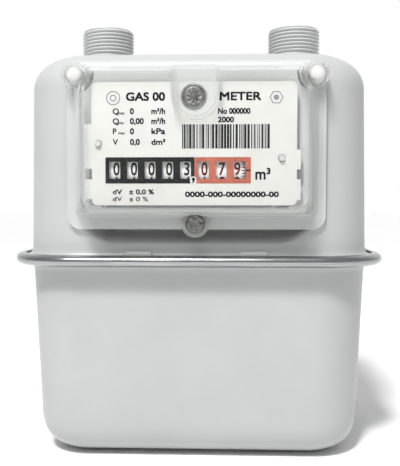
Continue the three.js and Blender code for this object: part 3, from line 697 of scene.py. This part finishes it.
def clear_cover():
    """The hollow cover with its foot flange, a post in each ear, and a cup and screw bore for each seal."""
    ear_recess_r, ear_post_r, ear_bore_r, screw_bore_r = 8.2, 6.3, 4.6, 1.7
    flange_outline = rounded_rect(0, 161.9, 64.5, 42, 7, 8)
    cover = cover_block(0, COVER_BASE_Y)
    cover.name = "clear_cover"
    join(cover, prism("flange", flange_outline, COVER_BASE_Y - 2, COVER_BASE_Y, onto_xz))
    cut(cover, *at_ears(ear_recess_r, -95, -79))
    join(cover, *at_ears(ear_post_r, -79, COVER_BASE_Y))
    join(cover, rod_y("cup", *BOTTOM_SEAL, 6.7, -77.5, COVER_BASE_Y))
    hollow = cover_block(COVER_WALL, COVER_BASE_Y + 0.5)
    cut(hollow, *at_ears(ear_recess_r + 1.5, -95, -77.4))
    cut(hollow, *at_ears(ear_post_r, -79, COVER_BASE_Y + 1))
    pocket = prism("pocket", pocket_outline(1.5), -96, -85.8, onto_xz)
    cut(hollow, pocket, rod_y("cup", *TOP_SEAL, 5.6, -90, -77))
    cut(cover, hollow, *at_ears(ear_bore_r, -95, -60))
    cut(cover, prism("pocket", pocket_outline(0), -96, -87.4, onto_xz))
    cut(cover, rod_y("cup", *TOP_SEAL, 5, -90, -78.2))
    cut(cover, rod_y("bore", *TOP_SEAL, screw_bore_r, -90, -70))
    cut(cover, rod_y("cup", *BOTTOM_SEAL, 5.1, -80, -71))
    cut(cover, rod_y("bore", *BOTTOM_SEAL, screw_bore_r, -80, -60))
    bevel(cover, 0.35)
    return tidy_mesh(cover, 30)


def stud_cap(name, x):
    """A domed cap with a hollow for the stud's end, turned about its axis."""
    profile = [(0, -78.2), (1.2, -78.15), (2.4, -77.85), (3.4, -77.3), (4.0, -76.5), (4.25, -75.6)]
    profile += [(4.3, -74.5), (4.3, -70.6), (2.3, -70.6), (2.3, -75.9), (0, -75.9)]
    rings = []
    for r, level in profile:
        rings.append([onto_xz(u, v, level) for u, v in circle(x, EAR_Z, max(r, AXIS_R))])
    return tidy_mesh(stack(name, rings))


def pressed_plug(name, centre, r_max, back, ring_count, face_level):
    """A round plug whose front face lies at face_level(radius, angle)."""
    around = 64
    rings = []
    for k in range(ring_count + 1):
        r = max(r_max * k / ring_count, AXIS_R)
        ring = []
        for i in range(around):
            angle = 2 * math.pi * i / around
            x, z = centre[0] + r * math.cos(angle), centre[1] + r * math.sin(angle)
            ring.append((x, face_level(r, angle), z))
        rings.append(ring)
    rings.append([onto_xz(u, v, back) for u, v in circle(*centre, r_max, around)])
    return tidy_mesh(stack(name, rings), 60)


def star_seal():
    """A round plug whose face is stamped with shallow rays."""
    r_max, front, back = 4.7, -86.5, -80.9

    def face_level(r, angle):
        ray = max(0, math.cos(8 * angle)) ** 0.6
        reach = smooth_step((r_max * 0.86 - r) / 0.9) * smooth_step(r / 1.2)
        relief = 0.55 * ray * reach + 0.3 * smooth_step((r - r_max + 0.7) / 0.7)
        return front + relief

    return pressed_plug("star_seal", TOP_SEAL, r_max, back, 14, face_level)


def crumpled_seal():
    """A slug of soft metal pressed into its cup, with a crumpled face."""
    r_max, front, back = 4.75, -77.1, -73.7
    foremost = -77.3

    def face_level(r, angle):
        x, z = r * math.cos(angle), r * math.sin(angle)
        folds = noise.noise(Vector((x * 0.55, z * 0.55, 3.1)))
        folds += 0.6 * noise.noise(Vector((x * 1.3, z * 1.3, 7.7)))
        edge = smooth_step((r - r_max + 0.8) / 0.8)
        relief = 0.8 * folds * (1 - edge) + 0.7 * edge + 0.25
        return max(front + relief, foremost)

    return pressed_plug("crumpled_seal", BOTTOM_SEAL, r_max, back, 20, face_level)


# ---------- Print on the dial ----------
INK_BACK_Y = PLATE_FRONT_Y - 0.005


def text_mesh(words, height):
    """Closed letters as a mesh in millimetres, digits being as tall as height, with u from 0."""
    def flat(body):
        curve = bpy.data.curves.new("words", "FONT")
        curve.body = body
        curve.size = 10
        curve.extrude = 0.05
        curve.resolution_u = 4
        obj = bpy.data.objects.new("words", curve)
        bpy.context.scene.collection.objects.link(obj)
        depsgraph = bpy.context.evaluated_depsgraph_get()
        mesh = bpy.data.meshes.new_from_object(obj.evaluated_get(depsgraph))
        bpy.data.objects.remove(obj)
        return mesh

    ruler = flat("0")
    tall = max(v.co.y for v in ruler.vertices) - min(v.co.y for v in ruler.vertices)
    scale = height / tall
    mesh = flat(words)
    left = min(v.co.x for v in mesh.vertices)
    for vertex in mesh.vertices:
        x, y, z = vertex.co
        vertex.co = ((x - left) * scale, y * scale, z * 0.4)
    return mesh


def width_of(mesh):
    return max(v.co.x for v in mesh.vertices)


def thickened(mesh, weight):
    """The mesh laid over itself four times, so that every stroke grows by the weight in millimetres."""
    working = bmesh.new()
    for du in (-weight / 2, weight / 2):
        for dv in (-weight / 2, weight / 2):
            copy = mesh.copy()
            for vertex in copy.vertices:
                vertex.co += Vector((du, dv, 0))
            working.from_mesh(copy)
    bmesh.ops.recalc_face_normals(working, faces=working.faces)
    working.to_mesh(mesh)
    working.free()
    return mesh


def print_text(name, words, x, z, height, ink="black", weight=0.15, width=None):
    """Words on the dial plate from x to the right, with their foot at z."""
    mesh = text_mesh(words, height)
    squeeze = 1 if width is None else width / width_of(mesh)
    for vertex in mesh.vertices:
        vertex.co.x *= squeeze
    thickened(mesh, weight)
    for vertex in mesh.vertices:
        u, v, level = vertex.co
        vertex.co = ((x + u) * MM, (PLATE_FRONT_Y - 0.03 - level) * MM, (z + v) * MM)
    mesh.name = name
    obj = bpy.data.objects.new(name, mesh)
    bpy.context.scene.collection.objects.link(obj)
    return add_piece(obj, INK[ink])


def print_panel(name, outline, ink, thick, holes=()):
    """A flat inked area on the dial plate, with openings cut in it."""
    panel = prism(name, outline, PLATE_FRONT_Y - thick, INK_BACK_Y, onto_xz)
    for hole in holes:
        cut(panel, prism("hole", hole, PLATE_FRONT_Y - 2, PLATE_FRONT_Y + 2, onto_xz))
    tidy_mesh(panel)
    return add_piece(panel, INK[ink])


def print_bars(name, x, z, height, widths, pitch):
    """A row of upright bars in one piece; widths are (bar, gap) pairs in pitches."""
    corner_sets = []
    left = x
    for bar, gap in widths:
        right = left + pitch * bar
        outline = ((left, z), (right, z), (right, z + height), (left, z + height))
        corner_sets.append([(u, y, v) for y in (PLATE_FRONT_Y - 0.05, INK_BACK_Y) for u, v in outline])
        left = right + pitch * gap
    return add_piece(boxes(name, corner_sets), INK["black"])


def print_ring(name, outer, inner):
    return print_panel(name, outer, "grey", 0.05, (inner,))


def window_outline(index):
    """The opening in front of a drum; the fastest drum's is wider, for its scale."""
    x = FIRST_DRUM_X + index * DRUM_PITCH
    half_w, half_h, shift = 2.6, 4.1, 0
    if index == DRUM_COUNT - 1:
        half_w, shift = 3.0, 0.3
    return rounded_rect(x + shift, DRUM_AXIS[1], half_w, half_h, 0.3, 3)


def box_outline(x0, x1, z0, z1, r=0.3):
    return rounded_rect((x0 + x1) / 2, (z0 + z1) / 2, (x1 - x0) / 2, (z1 - z0) / 2, r, 4)


def dial_print():
    """Everything printed on the dial plate; the words and figures are made up."""
    low, high = 142.5, 155.0  # foot and top of the masks round the windows
    black = [window_outline(i) for i in range(BLACK_DRUMS)]
    red = [window_outline(i) for i in range(BLACK_DRUMS, DRUM_COUNT)]
    print_panel("mask_black", box_outline(-42.8, -0.05, low, high), "black", 0.12, black)
    print_panel("mask_red", box_outline(0.0, 26.9, low, high), "red", 0.12, red)
    print_panel("pointer_dash", box_outline(24.6, 26.8, 148.3, 149.0, 0.1), "black", 0.16)
    patch = rounded_rect(-0.6, 143.9, 1.5, 1.9, 1.2, 6)
    panel = prism("comma_patch", patch, PLATE_FRONT_Y - 0.16, INK_BACK_Y, onto_xz)
    add_piece(panel, MATERIALS["white_plastic"])
    head = circle(-0.5, 144.5, 0.8, 24)[:18]
    tail = [(-0.6, 143.7), (-1.2, 142.8), (-0.9, 142.6), (-0.1, 143.3)]
    comma = prism("comma", head + tail, PLATE_FRONT_Y - 0.22, PLATE_FRONT_Y - 0.01, onto_xz)
    add_piece(tidy_mesh(comma), INK["black"])

    print_text("unit", "m³", 29.2, 144.4, 5.4, weight=0.3, width=6.9)
    print_text("title_left", "GAS 00", -32.6, 182.0, 3.8, weight=0.35, width=18.4)
    print_text("title_right", "METER", 12.2, 182.0, 3.8, weight=0.35, width=19.4)
    rows = (
        ("Q", "max", "0", "m³/h", 175.6),
        ("Q", "min", "0,00", "m³/h", 170.9),
        ("P", "max", "0", "kPa", 166.1),
        ("V", "", "0,0", "dm³", 161.0),
    )
    symbol_x, index_x, value_x, unit_x = -39.1, -36.5, -30.8, -20.5
    for i, (symbol, index, value, unit, z) in enumerate(rows):
        print_text(f"symbol_{i}", symbol, symbol_x, z, 2.7)
        if index:
            print_text(f"index_{i}", index, index_x, z - 0.1, 1.3, "grey", 0.1)
        print_text(f"value_{i}", value, value_x, z, 2.7, weight=0.25)
        print_text(f"measure_{i}", unit, unit_x, z, 2.7, weight=0.25, width=6.4)
    print_text("number", "No 000000", 11.3, 175.6, 2.6, weight=0.25, width=15.2)
    print_text("year", "2000", 11.3, 171.6, 2.5, weight=0.25, width=7.4)
    print_text("error", "± 0,0 %", -31.4, 137.4, 2.2, weight=0.2, width=11.8)
    print_text("error_symbol", "dV", -39.3, 137.4, 2.2, width=4.4)
    print_text("error_low", "± 0 %", -31.4, 134.0, 2.1, "faded", width=9)
    print_text("error_low_symbol", "dV", -39.3, 134.0, 2.1, "faded", width=4.4)
    print_text("approval", "0000-000-00000000-00", -4.4, 136.1, 2.4, weight=0.3, width=44.5)
    chance = random.Random(7)
    widths = [(chance.choice((1, 1.4, 2, 3, 4)), chance.choice((1, 1, 1.6, 2.4))) for _ in range(40)]
    total = sum(bar + gap for bar, gap in widths) - widths[-1][1]
    row_width = 41.7
    print_bars("bars", -5.9, 159.1, 11.5, widths, row_width / total)
    left_mark, right_mark = (-38.9, 183.2), (38.9, 183.2)
    print_ring("ring_mark", circle(*left_mark, 3.4), circle(*left_mark, 2.9))
    print_ring("ring_mark_inner", circle(*left_mark, 1.6), circle(*left_mark, 1.1))
    print_ring("frame_mark", circle(*right_mark, 3.3, 6), circle(*right_mark, 2.8, 6))
    print_panel("frame_mark_dot", circle(*right_mark, 1.3), "grey", 0.05)


# ---------- Number drums ----------
def wrap_digit(working, digit, down_angle, shift):
    """Adds a digit to the mesh, wrapped round a drum about X; down_angle is below the front."""
    mesh = text_mesh(str(digit), DIGIT_HEIGHT)
    middle = width_of(mesh) / 2
    thickened(mesh, 0.3)
    piece = bmesh.new()
    piece.from_mesh(mesh)
    slices = 8
    for step in range(1, slices):
        geometry = piece.verts[:] + piece.edges[:] + piece.faces[:]
        height = step * DIGIT_HEIGHT / slices
        bmesh.ops.bisect_plane(piece, geom=geometry, plane_co=(0, height, 0), plane_no=(0, 1, 0))
    for vertex in piece.verts:
        u, v, level = vertex.co
        angle = down_angle - (v - DIGIT_HEIGHT / 2 + DIGIT_RISE) / DRUM_R
        r = DRUM_R + 0.02 + level
        across = (u - middle) * DIGIT_SQUEEZE + shift
        vertex.co = Vector((across, -r * math.cos(angle), -r * math.sin(angle))) * MM
    bmesh.ops.recalc_face_normals(piece, faces=piece.faces)
    wrapped = bpy.data.meshes.new("wrapped")
    piece.to_mesh(wrapped)
    piece.free()
    working.from_mesh(wrapped)


def digit_ring(name, shown, shift):
    """All ten digits of a drum, with the shown one at the front and the next one below it."""
    working = bmesh.new()
    digit_angle = math.radians(36)
    for digit in range(10):
        wrap_digit(working, digit, digit_angle * (digit - shown), shift)
    mesh = bpy.data.meshes.new(name)
    working.to_mesh(mesh)
    working.free()
    obj = bpy.data.objects.new(name, mesh)
    bpy.context.scene.collection.objects.link(obj)
    return obj


def scale_ring(name):
    """Fine scale marks round the right edge of the fastest drum, with every fifth one longer."""
    marks = 50
    half = 0.25 / DRUM_R
    right = 2.8
    corner_sets = []
    for i in range(marks):
        middle = math.radians(360 / marks * i)
        low, high = middle - half, middle + half
        left = 1.0 if i % 5 == 0 else 1.5
        corners = []
        for r in (DRUM_R + 0.005, DRUM_R + 0.035):
            for x, angle in ((left, low), (right, low), (right, high), (left, high)):
                corners.append((x, -r * math.cos(angle), -r * math.sin(angle)))
        corner_sets.append(corners)
    return boxes(name, corner_sets)


def gear_outline(teeth, module):
    """Straight-sided teeth; module is the pitch diameter divided by the number of teeth."""
    points = []
    step = 2 * math.pi / teeth
    tip, root = module * (teeth / 2 + 1), module * (teeth / 2 - 1.25)
    for i in range(teeth):
        for r, share in ((root, -0.26), (tip, -0.07), (tip, 0.07), (root, 0.26)):
            angle = (i + share) * step
            points.append((r * math.cos(angle), r * math.sin(angle)))
    return points


def side_wheel(name, outline, start, end):
    """A wheel on a drum's side, with the drum's bore through it."""
    wheel = prism(name, outline, start, end, onto_yz)
    cut(wheel, prism("bore", circle(0, 0, DRUM_BORE_R, 24), -9, 9, onto_yz))
    return tidy_mesh(wheel)


def drum_body(name):
    """A drum with a transfer gear on its right side and a plain cam on its left."""
    edge = DRUM_HALF_W
    profile = [(DRUM_BORE_R, -edge), (DRUM_R - 0.3, -edge), (DRUM_R, -edge + 0.3), (DRUM_R, edge - 0.3)]
    profile += [(DRUM_R - 0.3, edge), (DRUM_BORE_R, edge)]
    rings = [[onto_yz(u, v, level) for u, v in circle(0, 0, r, 72)] for r, level in profile]
    rim = tidy_mesh(stack(name, rings, closed=True))
    stands_out, sunk = 1.1, 0.1
    cam_r = 7
    gear = side_wheel("gear", gear_outline(teeth=20, module=0.893), edge - sunk, edge + stands_out)
    cam = side_wheel("cam", circle(0, 0, cam_r, 40), -edge - stands_out, -edge + sunk)
    return tidy_mesh(merge(rim, gear, cam))


def number_drums():
    """Each drum with its digits, set to the reading; the fastest one also has scale marks."""
    master = drum_body("drum_master")
    for i, shown in enumerate(READING):
        node = f"number_drum_{i + 1}"
        place = Vector((FIRST_DRUM_X + i * DRUM_PITCH, *DRUM_AXIS)) * MM
        drum = bpy.data.objects.new(f"drum_{i + 1}", master.data.copy())
        fastest = i == DRUM_COUNT - 1
        digits = digit_ring(f"digits_{i + 1}", shown, FASTEST_DIGIT_SHIFT if fastest else DIGIT_SHIFT)
        ink = INK["black"] if i < BLACK_DRUMS else INK["dark_red"]
        pieces = [(drum, MATERIALS["drum_plastic"], (node,)), (digits, ink, ())]
        if fastest:
            pieces.append((scale_ring("scale_marks"), ink, ()))
        bpy.context.scene.collection.objects.link(drum)
        for obj, material, stands_for in pieces:
            for vertex in obj.data.vertices:
                vertex.co += place
            add_piece(obj, material, node, stands_for)
    bpy.data.objects.remove(master)


# ---------- Scene ----------
def carry_over_materials():
    """Gives each CAD node that still shows the material of its slot."""
    for entry in frame["record"]["subparts"]:
        node = frame["nodes"][entry["node"]]
        node.data.materials.clear()
        node.data.materials.append(MATERIALS[entry["material_slot"]])


def add_floor():
    half = 6000
    corners = [(-half, -half, 0), (half, -half, 0), (half, half, 0), (-half, half, 0)]
    floor = new_object("floor", corners, [(0, 1, 2, 3)])
    material, shader = new_material("pale_floor", (0.93, 0.93, 0.93), 0.7)
    vary_roughness(material, shader, noise_field(material, 20), 0.65, 0.8)
    floor.data.materials.append(material)
    floor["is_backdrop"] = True


def add_area_light(name, place, target, size, power):
    light = bpy.data.lights.new(name, "AREA")
    light.shape = "DISK"
    light.size = size
    light.energy = power
    obj = bpy.data.objects.new(name, light)
    obj.location = place
    obj.rotation_euler = (Vector(target) - Vector(place)).to_track_quat("-Z", "Y").to_euler()
    bpy.context.scene.collection.objects.link(obj)


def add_lighting():
    """A studio that is white behind the object and dimmer in front, with a high light at the left."""
    world = bpy.data.worlds.new("studio")
    world.use_nodes = True
    nodes, links = world.node_tree.nodes, world.node_tree.links
    place = nodes.new("ShaderNodeTexCoord")
    split = nodes.new("ShaderNodeSeparateXYZ")
    links.new(place.outputs["Generated"], split.inputs["Vector"])
    strength = nodes.new("ShaderNodeMapRange")
    strength.inputs["From Min"].default_value = 0.1
    strength.inputs["From Max"].default_value = 0.88
    strength.inputs["To Min"].default_value = 0.4
    strength.inputs["To Max"].default_value = 1.0
    links.new(split.outputs["Y"], strength.inputs["Value"])
    links.new(strength.outputs["Result"], nodes["Background"].inputs["Strength"])
    nodes["Background"].inputs["Color"].default_value = (1, 1, 1, 1)
    bpy.context.scene.world = world

    sun = bpy.data.lights.new("sun", "SUN")
    sun.energy = 2.0
    sun.angle = math.radians(7)
    sun_object = bpy.data.objects.new("sun", sun)
    sun_object.rotation_euler = Vector((0.22, 0.6, -1.0)).to_track_quat("-Z", "Y").to_euler()
    bpy.context.scene.collection.objects.link(sun_object)
    add_area_light("key", (-0.12, -0.5, 0.75), (0, 0, 0.1), 0.2, 4.4)


def add_camera():
    data = bpy.data.cameras.new("camera")
    data.sensor_width = 36
    data.lens = 53.7
    camera = bpy.data.objects.new("camera", data)
    camera.location = (0.0148, -0.4179, 0.1347)
    camera.rotation_euler = (math.radians(90 - 2.74), 0, math.radians(2.09))
    bpy.context.scene.collection.objects.link(camera)
    bpy.context.scene.camera = camera


bpy.context.scene.view_settings.view_transform = "Standard"
carry_over_materials()
add_piece(upper_shell(), MATERIALS["paint"], replaces=("upper_case",))
add_piece(lower_shell(), MATERIALS["paint"], replaces=("lower_case",))
for lug_x in (-29, 29):
    add_piece(flange_lug(lug_x), MATERIALS["paint"])
add_piece(clamp_band(), MATERIALS["band_steel"], replaces=("clamp_band",))
for side, x in (("inlet", -UNION_X), ("outlet", UNION_X)):
    # The unions take the lightened copy of the case paint, which paints light onto the threads.
    thread = threaded_union(f"{side}_thread", x)
    add_piece(thread, MATERIALS["union_paint_with_painted_light"], replaces=(f"{side}_union",))
add_piece(clear_cover(), MATERIALS["clear_plastic"], replaces=("index_cover",))
for side, ear in (("left", -EAR_X), ("right", EAR_X)):
    cap = stud_cap(f"ear_cap_{side}", ear)
    add_piece(cap, MATERIALS["white_plastic"], replaces=(f"stud_cap_{side}",))
add_piece(star_seal(), MATERIALS["lead"], replaces=("top_seal",))
add_piece(crumpled_seal(), MATERIALS["lead"], replaces=("bottom_seal",))
number_drums()
dial_print()
add_floor()
add_lighting()
add_camera()

visual_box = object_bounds()
boxes = {"cad": cad_box, "visual": visual_box}
